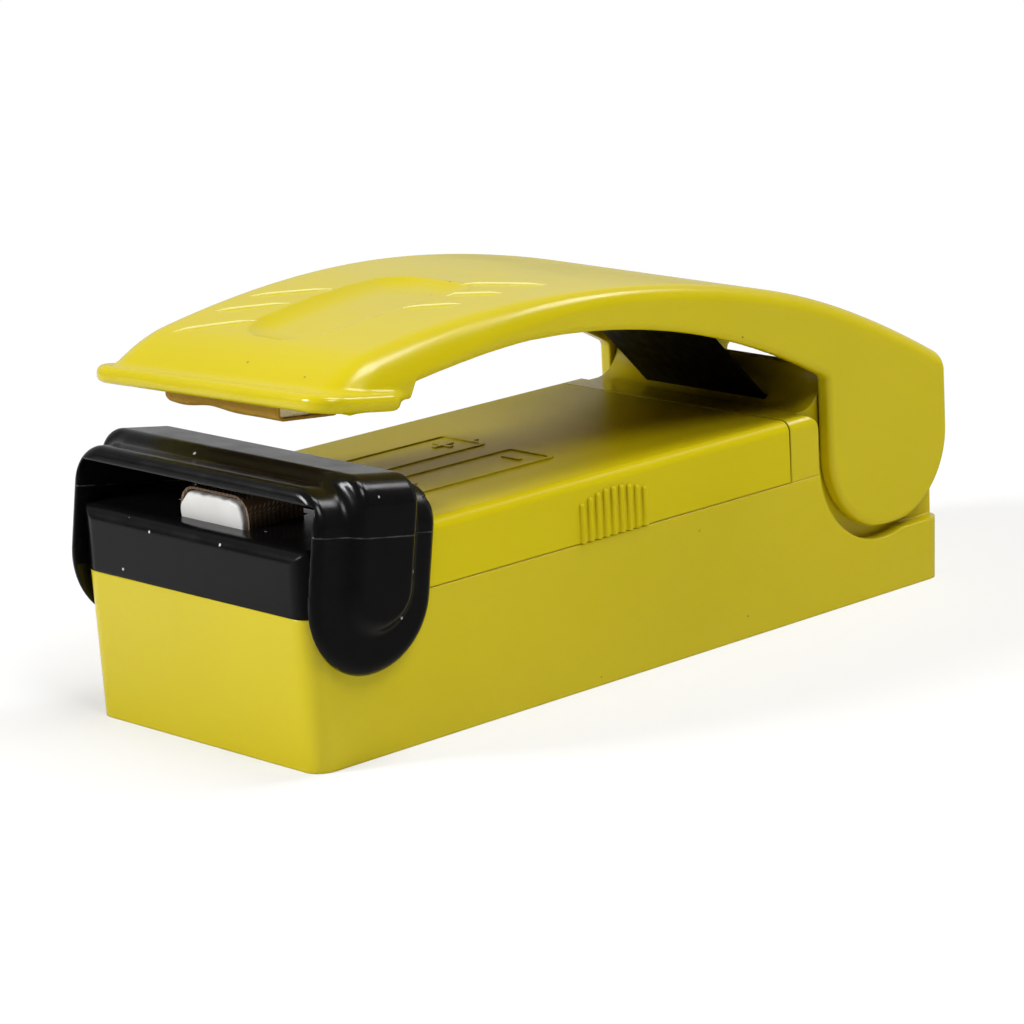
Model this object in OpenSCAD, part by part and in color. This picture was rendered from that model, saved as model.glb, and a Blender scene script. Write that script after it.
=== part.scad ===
// Hand-held battery heat sealer for plastic bags, with a squeeze lever.
// X runs across the case, Y from its front to its rear, Z up.
// The origin is the centre of the case's underside.
// Heights and widths below are measured from that origin; lengths along Y are
// measured from the case's front face, and place() moves them to the origin.

/* [Cells] */
// Radius of a cell
cell_r = 7.1; // [7:0.05:7.2]
// Length of a cell without its nub
cell_l = 49.2; // [49:0.1:49.5]

/* [Case] */
// Free space between a cell and the case's side wall
side_gap = 2.5; // [2.4:0.1:2.7]
// Free space under the cells
under_gap = 3.9; // [3.8:0.1:4.1]
// Free space over the cells
over_gap = 1.9; // [1.8:0.1:2]
// Height of the parts that sit on the lower case
upper_h = 7; // [6.9:0.1:7.1]
// Length of the front block with its shelf
front_l = 16.2; // [16.2:0.1:16.6]
// Length of the rear housing
housing_l = 26; // [25.8:0.1:26.2]
// Thickness of the moulded walls
wall = 1.6; // [1.4:0.1:1.6]
// How far each wall of the lower case leans in at the bottom
draft = 0.45; // [0.2:0.05:0.6]
// Radius of the case's upright corners
corner_r = 2.6; // [1.5:0.1:3]
// Radius of the long top edges
edge_r = 1.2; // [0.8:0.1:1.4]

/* [Battery cover] */
// How far the cover slides forward before it lifts off
cover_travel = 2.6; // [2:0.1:2.8]
// Grip ribs on each side of the cover
grip_count = 9; // [5:1:11]
// Distance from one grip rib to the next
grip_pitch = 1.17; // [1:0.01:1.3]

/* [Lever] */
// Radius of the arched top of the lever
arch_r = 127.6; // [127:0.1:128.5]
// Radius of the arched lower edge of the lever's sides
skirt_r = 96.5; // [96:0.1:97]
// Radius of the round cheeks at the pivot
cheek_r = 10; // [9.8:0.1:10]
// How far the cheeks stand out behind the case
cheek_overhang = 1.05; // [0.9:0.05:1.2]
// How far the lever turns from open to closed, in degrees
lever_swing = 5.5; // [5:0.1:5.5]
// Length and width of the thumb hollow
thumb_size = [25.4, 14];
// Depth of the thumb hollow
thumb_depth = 0.9; // [0.7:0.1:1.1]

/* [Safety guard] */
// Radius of the guard's round ears
ear_r = 8; // [7.8:0.1:8.1]
// How far the guard stands out in front of the case
guard_overhang = 0.5; // [0.3:0.1:0.7]
// How far the guard leans back while it is shut, in degrees
guard_lean = 9; // [8:0.5:10]
// How far the raised band stands above the guard's top
band_rise = 1.4; // [1.2:0.1:1.5]
// Width of the raised band
band_w = 8.2; // [8:0.1:8.4]

/* [Heater] */
// Width of the white heater block
block_w = 10.2; // [9.8:0.1:10.4]
// Length of the heater block along the case
block_l = 7.9; // [7:0.1:8]
// How far the heater block stands out of the case
block_rise = 2.8; // [2.6:0.1:2.8]
// How far the block is pressed down to switch the heat on
block_travel = 0.75; // [0.5:0.05:0.75]

/* [Hidden] */

$fn = 64;
overlap = 0.01;       // parts of one solid that only touch run this far into each other
tangent_gap = 0.03;   // keeps round faces off the flat faces that they blend into

// Clearances
slide_gap = 0.1;      // between flat faces that slide on each other
running_gap = 0.05;   // radial, at a pivot
screw_gap = 0.03;     // radial, where a screw's thread bites

// Colours
yellow = [0.80, 0.74, 0.10];
black = [0.07, 0.07, 0.075];
white = [0.93, 0.92, 0.89];
tan_cloth = [0.66, 0.55, 0.40];
silicone = [0.72, 0.66, 0.62];
steel = [0.70, 0.70, 0.72];
dark_steel = [0.13, 0.12, 0.11];
brass = [0.80, 0.66, 0.34];

// Cells, side by side with their nubs at opposite ends
cell_x = cell_r + 0.2;
nub_r = 2.7;
nub_l = 1.4;
plate_t = 0.35;
spring_r = 3;
spring_wire = 0.5;
spring_l = 5.1;

// Case
half_w = cell_x + cell_r + side_gap + wall;
inner_w = half_w - wall - 0.2;
floor_t = 1.6;
roof_z = floor_t + under_gap + 2 * cell_r + over_gap;
body_h = roof_z + wall;
seam_z = body_h - upper_h;
cell_z = roof_z - over_gap - cell_r;
cell_top = cell_z + cell_r;

// Battery bay
bulkhead_t = 1.6;
bay_y0 = front_l - 0.2;
bay_l = cell_l + nub_l + spring_l + 2 * plate_t + 2 * slide_gap;
bay_y1 = bay_y0 + bay_l;
cradle_count = 3;
cradle_t = 1.4;
cradle_z = cell_z - 4.2;
plate_z = [cell_z - 4.6, cell_z + 3.4];
tab_x = [cell_x + 5.3, cell_x + 6.7];
tab_y = bay_y0 - bulkhead_t - 1;
tab_z = cell_z + 1.4;

// Battery cover
cover_y0 = front_l;
cover_y1 = bay_y1 - 2;
cover_rib_in = 14;
cover_rib_t = 1.2;
grip_y = (cover_y0 + cover_y1) / 2 - 0.4;
mark_y = cover_y0 + 16.8;

// Rear housing
body_l = cover_y1 + housing_l;
housing_y0 = cover_y1 + 0.2;
housing_rear = body_l - 0.2;
housing_wall = 1.8;

// Lever's pivot, and the hollows in the case's sides where its cheeks turn
lever_pivot_y = body_l + cheek_overhang - cheek_r;
lever_pivot_z = seam_z + 1.6;
lever_half = half_w - 0.2;
cheek_t = 1.9;
cheek_gap = 0.2;
recess_w = lever_half - cheek_t - cheek_gap;
recess_c = [lever_pivot_y - 1.55, lever_pivot_z - 0.35];
recess_r = cheek_r + 0.75;
recess_round = 1.8;
ledge_z = lever_pivot_z - cheek_r - 0.6;
stub_r = 2.4;
lug_r = 5.2;
lug_t = 1.5;
lug_x = recess_w - housing_wall - lug_t - 0.15;
hump_y = lever_pivot_y - 9.05;
hump_z = body_h + 4.4;
hump_land = 1.6;
hump_rear_z = body_h - 1.8;
cove_r = 3.6;

// Front block
holder_l = front_l - cover_travel - 0.7;
holder_roof_z = body_h - 2;
holder_edge_r = 1.5;
shelf_y = [holder_l - 0.7, front_l + 1.2];
shelf_z = [cell_top + 0.5, roof_z - 0.15];
guard_pivot_y = ear_r - guard_overhang;
guard_pivot_z = seam_z + 1.45;
trunnion_r = 1.4;
trunnion_x = half_w + 1.35;

// Heater block
block_top = body_h + block_rise;
block_edge_r = 1.8;
block_y0 = 3.3;
block_y1 = block_y0 + block_l;
block_c = (block_y0 + block_y1) / 2;
block_slot = 0.7;
flange_x = block_w / 2 + 2;
flange_y = 0.7;
flange_top = holder_roof_z - slide_gap;
flange_t = 1.2;
flange_z = flange_top - flange_t;
cloth_t = 0.25;
ribbon_t = 0.15;
ribbon_w = 2.2;
ribbon_x = block_w / 2;
well_gap = 0.3;
well_t = 1.2;
well_z = flange_z - 2.9;
heater_spring_r = 2.1;
coil_seat_z = flange_z - 8.9;
coil_seat_r = 3.4;
coil_pin = [1.3, 1.6];   // radius and height of the pin inside the coil
blade_t = 0.4;
blade_half = 1.6;
blade_x = flange_x - 0.1;
contact_t = 0.25;
contact_z = flange_z - blade_t - block_travel - 0.05;
contact_foot = contact_z - 9.7;
crimp_h = 2;
crimp_w = 1;
crimp_x = ribbon_x + crimp_w / 2;
lead_r = 0.55;

// Screws: [x, y] of the front pair and of the rear pair
screw_r = 1.05;
screw_len = 14;
screw_head_r = 1.9;
screw_head_t = 1.3;
screw_hole_r = screw_r + 0.2;
boss_r = 3.2;
boss_z = seam_z - 4.4;
post_r = 2.6;
post_z = boss_z + 0.2;
sink_z = 2.6;
screw_front = [half_w - 5.8, 6];
screw_rear = [lug_x - post_r - 1.05, lever_pivot_y - 4.15];

// Lever
lever_t = 1.9;
lever_edge_r = 2.4;
lever_nose_r = 5;
lever_nose_y = 9.2;
lever_plan_y = 4.2;
lever_hollow_y = 7.2;
lever_corner_r = 8;
lever_rear_r = 1.6;
lever_rear = lever_pivot_y + cheek_r;
lip_side = 1;
lip_y0 = 2.75;
lip_z = body_h + 13.3;
lip_l = 12.8;
lip_t = 2;
lip_r = 3.5;
foot_y = [lip_y0 + 9, lip_y0 + lip_l + 0.35];
foot_z = lip_z - 0.45;
foot_front_z = lip_z + 0.5;
arch_c = arc_centre([lip_y0, body_h + 15.8], [lever_rear, body_h + 2.7], arch_r);
arch_sector = [50, 65];   // start and sweep of the arm about the arch's centre
side_depth = [3.75, 8.3];   // of the lever's side, at the foot and at the cheek
skirt_front = [foot_y[1], arch_z(foot_y[1], arch_r) - side_depth[0]];
skirt_rear = [lever_pivot_y - cheek_r, arch_z(lever_pivot_y - cheek_r, arch_r) - side_depth[1]];
skirt_c = arc_centre(skirt_front, skirt_rear, skirt_r);
pad_half = 9.6;
pad_y = [2.95, 10.6];
pad_t = 1.3;
jaw_cloth_t = 0.3;
thumb_c = lip_y0 + 23.05;
line_r = 0.22;

// Leaf spring
leaf_w = 16;
leaf_t = 0.5;
leaf_bend = [hump_y - 2.3, body_h + 0.85];
leaf_curl = leaf_bend + [1.1, 0.8];
leaf_top_y = hump_y - 14.4;
leaf_top = [leaf_top_y, arch_z(leaf_top_y, arch_r - lever_t) - 0.85];
leaf_rib = [leaf_top_y - 3.2, leaf_top_y - 2];   // rib in front of its upper end

// Guard: measured from its pivot
guard_skin = 1.15;
guard_clear = 1.3;
guard_top = block_top + guard_clear + guard_skin - guard_pivot_z;
band_top = guard_top + band_rise;
ear_x = [half_w + 0.35, half_w + 1.5];
band_x = half_w + 2.8;
band_skin = 1.1;
band_c = [0.5, 0.75];   // centre of the band's round end
band_corner_r = 3;
guard_front_r = 1.1;
guard_rear_r = 2.4;
guard_corner_r = 4.2;
guard_inner_r = 1.2;

// ---------- shared shapes ----------

// Centre of the circle of radius r that passes through p and q and bulges upward
function arc_centre(p, q, r) = let (d = (q - p) / norm(q - p))
    (p + q) / 2 + sqrt(pow(r, 2) - pow(norm(q - p) / 2, 2)) * [d[1], -d[0]];

// Height of the arched top over a point y along the case
function arch_z(y, r) = arch_c[1] + sqrt(pow(r, 2) - pow(y - arch_c[0], 2));

// Moves lengths measured from the front face to the origin
module place() {
    translate([0, -body_l / 2, 0]) children();
}

module box(x0, y0, z0, x1, y1, z1) {
    translate([x0, y0, z0]) cube([x1 - x0, y1 - y0, z1 - z0]);
}

// The same solid on the left and on the right
module both_sides() {
    children();
    mirror([1, 0, 0]) children();
}

// A Y-Z outline, extruded along X from x0 to x1
module along_x(x0, x1) {
    translate([x0, 0, 0]) rotate([90, 0, 90]) linear_extrude(x1 - x0) children();
}

// An X-Z outline, extruded along Y from y0 to y1
module along_y(y0, y1) {
    translate([0, y1, 0]) rotate([90, 0, 0]) linear_extrude(y1 - y0) children();
}

// Upright box, half wide to each side, with round corners; its walls lean in at the bottom
module draft_block(half, l, h, r, inset) {
    for (x = [-1, 1], y = [r, l - r])
        translate([x * (half - r), y, 0]) cylinder(h = h, r1 = r - inset, r2 = r);
    along_y(r, l - r)
        polygon([[inset - half, 0], [half - inset, 0], [half, h], [-half, h]]);
    along_x(r - half, half - r)
        polygon([[inset, 0], [l - inset, 0], [l, h], [0, h]]);
}

// Outline from z0 to z1, half wide to each side, with round top corners
module round_top(half, z0, z1, r) {
    translate([-half, z0]) square([2 * half, z1 - z0 - r]);
    translate([r - half, z0]) square([2 * (half - r), z1 - z0]);
    for (x = [-1, 1]) translate([x * (half - r), z1 - r]) circle(r);
}

// Outline from p to q with four round corners
module round_box(p, q, r) {
    translate([p[0], p[1] + r]) square([q[0] - p[0], q[1] - p[1] - 2 * r]);
    translate([p[0] + r, p[1]]) square([q[0] - p[0] - 2 * r, q[1] - p[1]]);
    for (x = [p[0] + r, q[0] - r], y = [p[1] + r, q[1] - r]) translate([x, y]) circle(r);
}

// A round rod from point a to point b
module rod(a, b, r) {
    d = b - a;
    l = norm(d);
    translate(a)
        rotate([0, acos(d[2] / l), atan2(d[1], d[0])])
            cylinder(h = l, r = r);
}

// A round wire along a path; across must never point along the path
module tube(path, r, across = [0, 0, 1]) {
    sides = 8;
    last = len(path) - 1;
    unit = function (v) v / norm(v);
    ring = function (i) let (
        along = path[min(i + 1, last)] - path[max(i - 1, 0)],
        u = unit(cross(along, across)),
        v = unit(cross(u, along))
    ) [for (j = [0 : sides - 1]) path[i] + r * (u * cos(360 * j / sides) + v * sin(360 * j / sides))];
    points = [for (i = [0 : last]) each ring(i)];
    walls = [for (i = [0 : last - 1], j = [0 : sides - 1]) let (k = (j + 1) % sides)
        [i * sides + j, i * sides + k, (i + 1) * sides + k, (i + 1) * sides + j]];
    start_cap = [for (j = [sides - 1 : -1 : 0]) j];
    end_cap = [for (j = [0 : sides - 1]) last * sides + j];
    polyhedron(points, concat(walls, [start_cap, end_cap]), convexity = 8);
}

// A coil of round wire along +Z from 0 to height
module coil(r, wire_d, height, turns) {
    steps = 14 * turns;
    rise = (height - wire_d) / steps;
    tube([for (i = [0 : steps]) let (a = 360 * turns * i / steps)
        [r * cos(a), r * sin(a), wire_d / 2 + i * rise]], wire_d / 2);
}

// Points of a smooth curve through p
function curve(p) = let (n = len(p) - 1, steps = 6) [
    for (i = [0 : n - 1], s = [0 : steps - (i == n - 1 ? 0 : 1)]) let (
        t = s / steps,
        a = p[max(i - 1, 0)], b = p[i], c = p[i + 1], d = p[min(i + 2, n)]
    ) 0.5 * (2 * b + (c - a) * t + (2 * a - 5 * b + 4 * c - d) * t * t
             + (3 * b - a - 3 * c + d) * t * t * t)
];

// Y-Z outline of the hollow in the case's side where a cheek turns
module recess_outline() {
    translate(recess_c) circle(recess_r);
    translate([recess_c[0] - recess_r, recess_c[1]]) square([2 * recess_r + body_l, body_h]);
    translate([recess_c[0], ledge_z]) square([body_l, body_h]);
}

module recesses() {
    both_sides() along_x(recess_w, half_w + 1) recess_outline();
}

// ---------- case ----------

// Column in the lower case that a screw comes up through
module screw_boss(p) {
    for (x = [-1, 1]) translate([x * p[0], p[1], 0]) cylinder(h = boss_z, r = boss_r);
}

module screw_hole(p) {
    for (x = [-1, 1]) translate([x * p[0], p[1], 0]) {
        translate([0, 0, -1]) cylinder(h = boss_z + 2, r = screw_hole_r);
        translate([0, 0, -1]) cylinder(h = sink_z + 1, r = screw_head_r + 0.3);
    }
}

// Plate across the case that the two cells rest in
module cradle(y) {
    difference() {
        box(-inner_w - 0.2, y, floor_t - 0.2, inner_w + 0.2, y + cradle_t, cradle_z);
        for (x = [-cell_x, cell_x]) translate([x, y - 1, cell_z]) rotate([-90, 0, 0])
            cylinder(h = cradle_t + 2, r = cell_r + 0.15);
    }
}

module lower_case() place() color(yellow) difference() {
    union() {
        difference() {
            draft_block(half_w, body_l, seam_z, corner_r, draft);
            box(-inner_w, wall + 0.2, floor_t, inner_w, bay_y1, seam_z + 1);
            box(-recess_w + housing_wall, bay_y1 + bulkhead_t, floor_t,
                recess_w - housing_wall, body_l - housing_wall, seam_z + 1);
        }
        difference() {
            box(-inner_w - 0.2, bay_y0 - bulkhead_t, floor_t - 0.2, inner_w + 0.2, bay_y0, seam_z);
            both_sides() box(tab_x[0] - 0.4, bay_y0 - bulkhead_t - 1, tab_z - 1,
                             tab_x[1] + 0.4, bay_y0 + 1, seam_z + 1);
        }
        for (i = [0 : cradle_count - 1])
            cradle(bay_y0 + (i + 0.5) * bay_l / cradle_count - cradle_t / 2);
        screw_boss(screw_front);
        screw_boss(screw_rear);
        translate([0, block_c, floor_t - 0.2])
            cylinder(h = coil_seat_z - floor_t + 0.2, r = coil_seat_r);
        translate([0, block_c, floor_t])
            cylinder(h = coil_seat_z - floor_t + coil_pin[1], r = coil_pin[0]);
    }
    recesses();
    both_sides() along_x(recess_w - housing_wall - 1, half_w)
        translate([lever_pivot_y, lever_pivot_z]) circle(stub_r + 0.5);
    screw_hole(screw_front);
    screw_hole(screw_rear);
}

// Rounds the top edge of the roof where it meets the cheek's recess
module roof_corner_outline() {
    r = recess_round;
    difference() {
        translate([recess_c[0] - recess_r - r, body_h - r]) square([r + 1, r + 1]);
        translate([recess_c[0] - recess_r - r, body_h - r]) circle(r);
    }
}

module rear_housing() place() color(yellow) difference() {
    union() {
        difference() {
            union() {
                along_y(housing_y0, hump_y) round_top(half_w, seam_z, body_h, edge_r);
                along_x(-recess_w, recess_w) {
                    difference() {
                        translate([hump_y - cove_r, seam_z]) square([cove_r + 1, body_h + cove_r - seam_z]);
                        translate([hump_y - cove_r, body_h + cove_r]) circle(cove_r);
                    }
                    polygon([
                        [hump_y, seam_z], [hump_y, hump_z], [hump_y + hump_land, hump_z],
                        [housing_rear, hump_rear_z], [housing_rear, seam_z]
                    ]);
                }
            }
            difference() {
                along_x(housing_wall - recess_w, recess_w - housing_wall) {
                    translate([housing_y0 - 1, seam_z - 1])
                        square([hump_y + wall - housing_y0 + 2, roof_z - seam_z + 1]);
                    polygon([
                        [hump_y + wall, seam_z - 1], [hump_y + wall, hump_z - wall],
                        [hump_y + hump_land, hump_z - wall],
                        [housing_rear - housing_wall, hump_rear_z - wall],
                        [housing_rear - housing_wall, seam_z - 1]
                    ]);
                }
                for (x = [-1, 1]) translate([x * screw_rear[0], screw_rear[1], seam_z - 1])
                    cylinder(h = hump_z, r = post_r);
            }
            recesses();
            both_sides() along_x(recess_w, half_w + 1) roof_corner_outline();
        }
        // Lugs that carry the lever's stub axles
        both_sides() {
            along_x(lug_x, lug_x + lug_t) lug_outline();
            along_x(lug_x + lug_t - 0.1, recess_w - housing_wall + 0.1) intersection() {
                lug_outline();
                translate([0, seam_z]) square([body_l, lug_r]);
            }
        }
        for (x = [-1, 1]) translate([x * screw_rear[0], screw_rear[1], post_z])
            cylinder(h = seam_z + 2 - post_z, r = post_r);
    }
    both_sides() along_x(0, half_w)
        translate([lever_pivot_y, lever_pivot_z]) circle(stub_r + running_gap);
    for (x = [-1, 1]) translate([x * screw_rear[0], screw_rear[1], post_z - 1])
        cylinder(h = screw_len + sink_z - post_z + 2, r = screw_r + screw_gap);
}

module lug_outline() {
    translate([lever_pivot_y, lever_pivot_z]) circle(lug_r);
}

// Cell outline with a plus at one end and a minus at the other, in raised lines
module cell_mark() {
    h = 0.15;
    line = 0.5;
    size = [3.6, 11];   // half the width and half the length of the outline
    module bar(x, y, w, l) { translate([x - w / 2, y - l / 2, 0]) cube([w, l, h + 0.1]); }
    difference() {
        linear_extrude(h + 0.1) round_box(-size, size, 0.8);
        translate([0, 0, -1]) linear_extrude(3)
            round_box([line, line] - size, size - [line, line], 0.5);
    }
    bar(0, 11.4, 2.6, 0.8);
    bar(0, 7.6, 2.8, line);
    bar(0, 7.6, line, 2.8);
    bar(0, -7.8, 2.8, line);
}

module battery_cover() place() color(yellow) {
    difference() {
        along_y(cover_y0, cover_y1) round_top(half_w, seam_z + slide_gap, body_h, edge_r);
        along_y(cover_y0 - 1, cover_y1 + 1)
            translate([wall - half_w, 0]) square([2 * (half_w - wall), roof_z]);
    }
    rib_w = half_w - wall + 0.2;
    for (y = [cover_y0 + cover_rib_in, cover_y1 - cover_rib_in - cover_rib_t])
        box(-rib_w, y, cell_top + 0.5, rib_w, y + cover_rib_t, roof_z + 0.2);
    box(-rib_w, cover_y1 - cover_rib_t, cell_top + 0.25, rib_w, cover_y1, roof_z + 0.2);
    // Tongue that reaches under the rear housing
    box(-5, cover_y1 - 0.5, cell_top + 0.6, 5, cover_y1 + cover_travel - 0.9, roof_z - 0.2);
    // Grip ribs, highest in the middle
    mid = (grip_count - 1) / 2;
    grip_r = 0.36;
    both_sides() for (i = [0 : grip_count - 1]) {
        top = body_h - 2 - 0.058 * pow(i - mid, 2);
        translate([half_w, grip_y + (i - mid) * grip_pitch, 0]) {
            translate([0, 0, seam_z + slide_gap])
                cylinder(h = top - seam_z - slide_gap, r = grip_r, $fn = 24);
            translate([0, 0, top]) sphere(grip_r, $fn = 24);
        }
    }
    for (x = [-1, 1])
        translate([x * 5.4, mark_y, body_h - 0.1]) rotate([0, 0, x > 0 ? 180 : 0]) cell_mark();
}

module case_screws() place() color(steel)
    for (p = [screw_front, screw_rear], x = [-1, 1])
        translate([x * p[0], p[1], sink_z - screw_head_t]) difference() {
            union() {
                cylinder(h = screw_head_t, r = screw_head_r);
                cylinder(h = screw_head_t + screw_len, r = screw_r);
            }
            for (a = [0, 90]) rotate([0, 0, a]) box(-1.2, -0.25, -1, 1.2, 0.25, 0.6);
        }

// ---------- front block and heater ----------

module heater_holder() place() color(black) difference() {
    union() {
        difference() {
            intersection() {
                along_y(0, holder_l) round_top(half_w, seam_z, body_h, edge_r);
                along_x(-half_w, half_w) {
                    r = holder_edge_r;
                    translate([0, seam_z]) square([holder_l, upper_h - r]);
                    translate([r, seam_z]) square([holder_l - r, upper_h]);
                    translate([r, body_h - r]) circle(r);
                }
                translate([0, 0, seam_z]) linear_extrude(upper_h)
                    round_box([-half_w, 0], [half_w, body_l], corner_r);
            }
            box(-inner_w, wall + 0.2, seam_z - 1, inner_w, holder_l + 1, holder_roof_z);
        }
        // Shelf under the cover's front edge
        box(-inner_w, shelf_y[0], shelf_z[0], inner_w, shelf_y[1], shelf_z[1]);
        box(-inner_w, shelf_y[0], shelf_z[0], inner_w, holder_l, body_h - 1);
        // Well that guides the block's flange
        well = [flange_x + well_gap, block_y0 - flange_y - well_gap, block_y1 + flange_y + well_gap];
        both_sides() box(well[0], well[1] - 0.6, well_z, well[0] + well_t, well[2] + well_t, body_h - 1);
        box(-well[0] - well_t, well[2], flange_z - 0.2, well[0] + well_t, well[2] + well_t,
            body_h - 1);
        for (x = [-1, 1]) translate([x * screw_front[0], screw_front[1], post_z])
            cylinder(h = holder_roof_z + 0.5 - post_z, r = post_r);
        both_sides() along_x(half_w - 0.5, trunnion_x)
            translate([guard_pivot_y, guard_pivot_z]) circle(trunnion_r);
    }
    box(-block_w / 2 - block_slot, block_y0 - 0.2, holder_roof_z - 1,
        block_w / 2 + block_slot, block_y1 + 0.2, body_h + 1);
    for (x = [-1, 1]) translate([x * screw_front[0], screw_front[1], post_z - 1])
        cylinder(h = screw_len + sink_z - post_z + 2, r = screw_r + screw_gap);
}

module heater_block() place() color(white) difference() {
    union() {
        along_y(block_y0, block_y1) round_top(block_w / 2, flange_z, block_top, block_edge_r);
        box(-flange_x, block_y0 - flange_y, flange_z, flange_x, block_y1 + flange_y, flange_top);
    }
    // Slits that the ribbon's ends go down through
    both_sides() box(ribbon_x - overlap, block_c - ribbon_w / 2 - 0.1, flange_z - 1,
                     ribbon_x + ribbon_t + 0.1, block_c + ribbon_w / 2 + 0.1, flange_top + 1);
}

// X-Z outline that follows the block's sides and top at distance a, and is t thick
module block_skin(a, t, z0) {
    difference() {
        round_top(block_w / 2 + a + t, z0, block_top + a + t, block_edge_r + a + t);
        round_top(block_w / 2 + a, z0 - 1, block_top + a, block_edge_r + a);
    }
}

module heater_wire() place() color(steel)
    along_y(block_c - ribbon_w / 2, block_c + ribbon_w / 2) block_skin(0, ribbon_t, flange_z);

module heater_cloth() place() color(tan_cloth)
    along_y(block_y0 + 0.5, block_y1 - 0.1)
        block_skin(ribbon_t + overlap, cloth_t, flange_top + overlap);

module wire_crimps() place() color(brass) both_sides()
    box(ribbon_x - crimp_w / 2, block_c - crimp_w, flange_z - crimp_h,
        crimp_x, block_c + crimp_w, flange_z);

module heater_spring() place() color(steel)
    translate([0, block_c, coil_seat_z]) coil(heater_spring_r, spring_wire, flange_z - coil_seat_z, 5);

module switch_blade() place() color(brass)
    box(crimp_x, block_c - blade_half, flange_z - blade_t, blade_x, block_c + blade_half, flange_z);

module switch_contact() place() color(brass) {
    y1 = bay_y0 - bulkhead_t;
    box(crimp_x + 0.2, block_c - blade_half, contact_z - contact_t, blade_x, y1, contact_z);
    box(crimp_x + 0.2, y1 - contact_t, contact_foot, blade_x, y1, contact_z - contact_t + overlap);
}

// ---------- safety guard ----------

// Y-Z outline: half a disc below, and a top with round corners
module guard_side(half, top, front_r, rear_r) {
    circle(half);
    translate([-half, 0]) square([half, top - front_r]);
    square([half, top - rear_r]);
    translate([front_r - half, 0]) square([2 * half - front_r - rear_r, top]);
    translate([front_r - half, top - front_r]) circle(front_r);
    translate([half - rear_r, top - rear_r]) circle(rear_r);
}

module guard_shape() {
    reach = 2 * ear_r;
    half = band_w / 2;
    difference() {
        union() {
            intersection() {
                along_x(-ear_x[1], ear_x[1]) guard_side(ear_r, guard_top, guard_front_r, guard_rear_r);
                along_y(-ear_r, ear_r) round_top(ear_x[1], -ear_r, guard_top, guard_corner_r);
                translate([0, 0, -reach]) linear_extrude(2 * reach)
                    round_box([-ear_x[1], -ear_r], [ear_x[1], ear_r], guard_front_r);
            }
            intersection() {
                along_x(-band_x, band_x) translate(band_c) guard_side(half, band_top - band_c[1], 1, 1.6);
                along_y(-ear_r, ear_r) round_top(band_x, -ear_r, band_top, band_corner_r);
            }
        }
        along_y(-reach, reach)
            round_top(ear_x[0], -reach, guard_top - guard_skin, guard_inner_r);
        along_y(band_c[0] + band_skin - half, band_c[0] + half - band_skin)
            round_top(ear_x[0], -reach, band_top - guard_skin, guard_inner_r);
        along_x(-trunnion_x - 0.1, trunnion_x + 0.1) circle(trunnion_r + running_gap);
    }
}

module safety_guard() place() color(black)
    translate([0, guard_pivot_y, guard_pivot_z]) rotate([-guard_lean, 0, 0]) guard_shape();

// ---------- lever ----------

// Turns an X-R outline into the arched arm: first coordinate is the radius
module arched() {
    translate([0, arch_c[0], arch_c[1]]) rotate([90, 0, 90])
        rotate([0, 0, arch_sector[0]]) rotate_extrude(angle = arch_sector[1], $fn = 180) children();
}

module arm_section(r_out, half, corner) {
    depth = 30;
    translate([r_out - depth, -half]) square([depth - corner, 2 * half]);
    translate([r_out - depth, corner - half]) square([depth, 2 * (half - corner)]);
    for (x = [-1, 1]) translate([r_out - corner, x * (half - corner)]) circle(corner);
}

// Y-Z outline of the lever's side: nose, foot, arch and cheek.
// Its top stands above the arched arm, which trims it.
module lever_side() {
    nose = [lever_nose_y, arch_z(lever_nose_y, arch_r - lever_nose_r)];
    tail_y = lever_rear - lever_rear_r;
    tail = [tail_y, arch_z(tail_y, arch_r - lever_rear_r)];
    blend_y = tail_y + lever_rear_r * (tail_y - arch_c[0]) / (arch_r - lever_rear_r);
    arch_top = arch_c[1] + arch_r + 2;
    crown_z = skirt_c[1] + skirt_r + 0.2;
    cheek_y = lever_pivot_y - cheek_r;
    intersection() {
        translate(nose + [0, tangent_gap]) circle(lever_nose_r);
        translate([0, foot_front_z]) square([nose[0] + 1, arch_top - foot_front_z]);
    }
    polygon([
        [foot_y[0] - 4, foot_front_z], [foot_y[0], foot_z], [foot_y[1], foot_z],
        [foot_y[1], crown_z + 1], [foot_y[0] - 4, crown_z + 1]
    ]);
    translate([nose[0], foot_front_z]) square([foot_y[0] - nose[0], arch_top - foot_front_z]);
    translate([nose[0], crown_z]) square([tail_y - nose[0], arch_top - crown_z]);
    difference() {
        translate([foot_y[1] - 1, body_h]) square([cheek_y - foot_y[1] + 2, crown_z + 1 - body_h]);
        translate(skirt_c) circle(skirt_r, $fn = 180);
    }
    translate([lever_pivot_y, lever_pivot_z]) circle(cheek_r);
    translate([cheek_y, lever_pivot_z]) square([tail_y - cheek_y, crown_z + 1 - lever_pivot_z]);
    translate([tail_y - 1, lever_pivot_z]) square([lever_rear_r + 1, tail[1] - lever_pivot_z]);
    translate([tail_y - 1, tail[1]]) square([blend_y - tail_y + 1, lever_rear_r + 1]);
    translate(tail + [0, tangent_gap]) circle(lever_rear_r);
}

// Plate at the lever's tip; it lies level once the lever is closed
module lip_frame() {
    translate([0, lip_y0, lip_z]) rotate([-lever_swing, 0, 0]) children();
}

// Upright prism whose front corners are round, half wide to each side
module lever_plan(half, front, r) {
    translate([0, 0, -1]) linear_extrude(2 * lip_z)
        round_box([-half - tangent_gap, front], [half + tangent_gap, lever_rear + 2 * r], r);
}

module lever_hollow() {
    intersection() {
        arched() arm_section(arch_r - lever_t, lever_half - cheek_t, lever_edge_r - lever_t);
        lever_plan(lever_half - cheek_t, lever_hollow_y, lever_corner_r - lever_t);
    }
}

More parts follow.
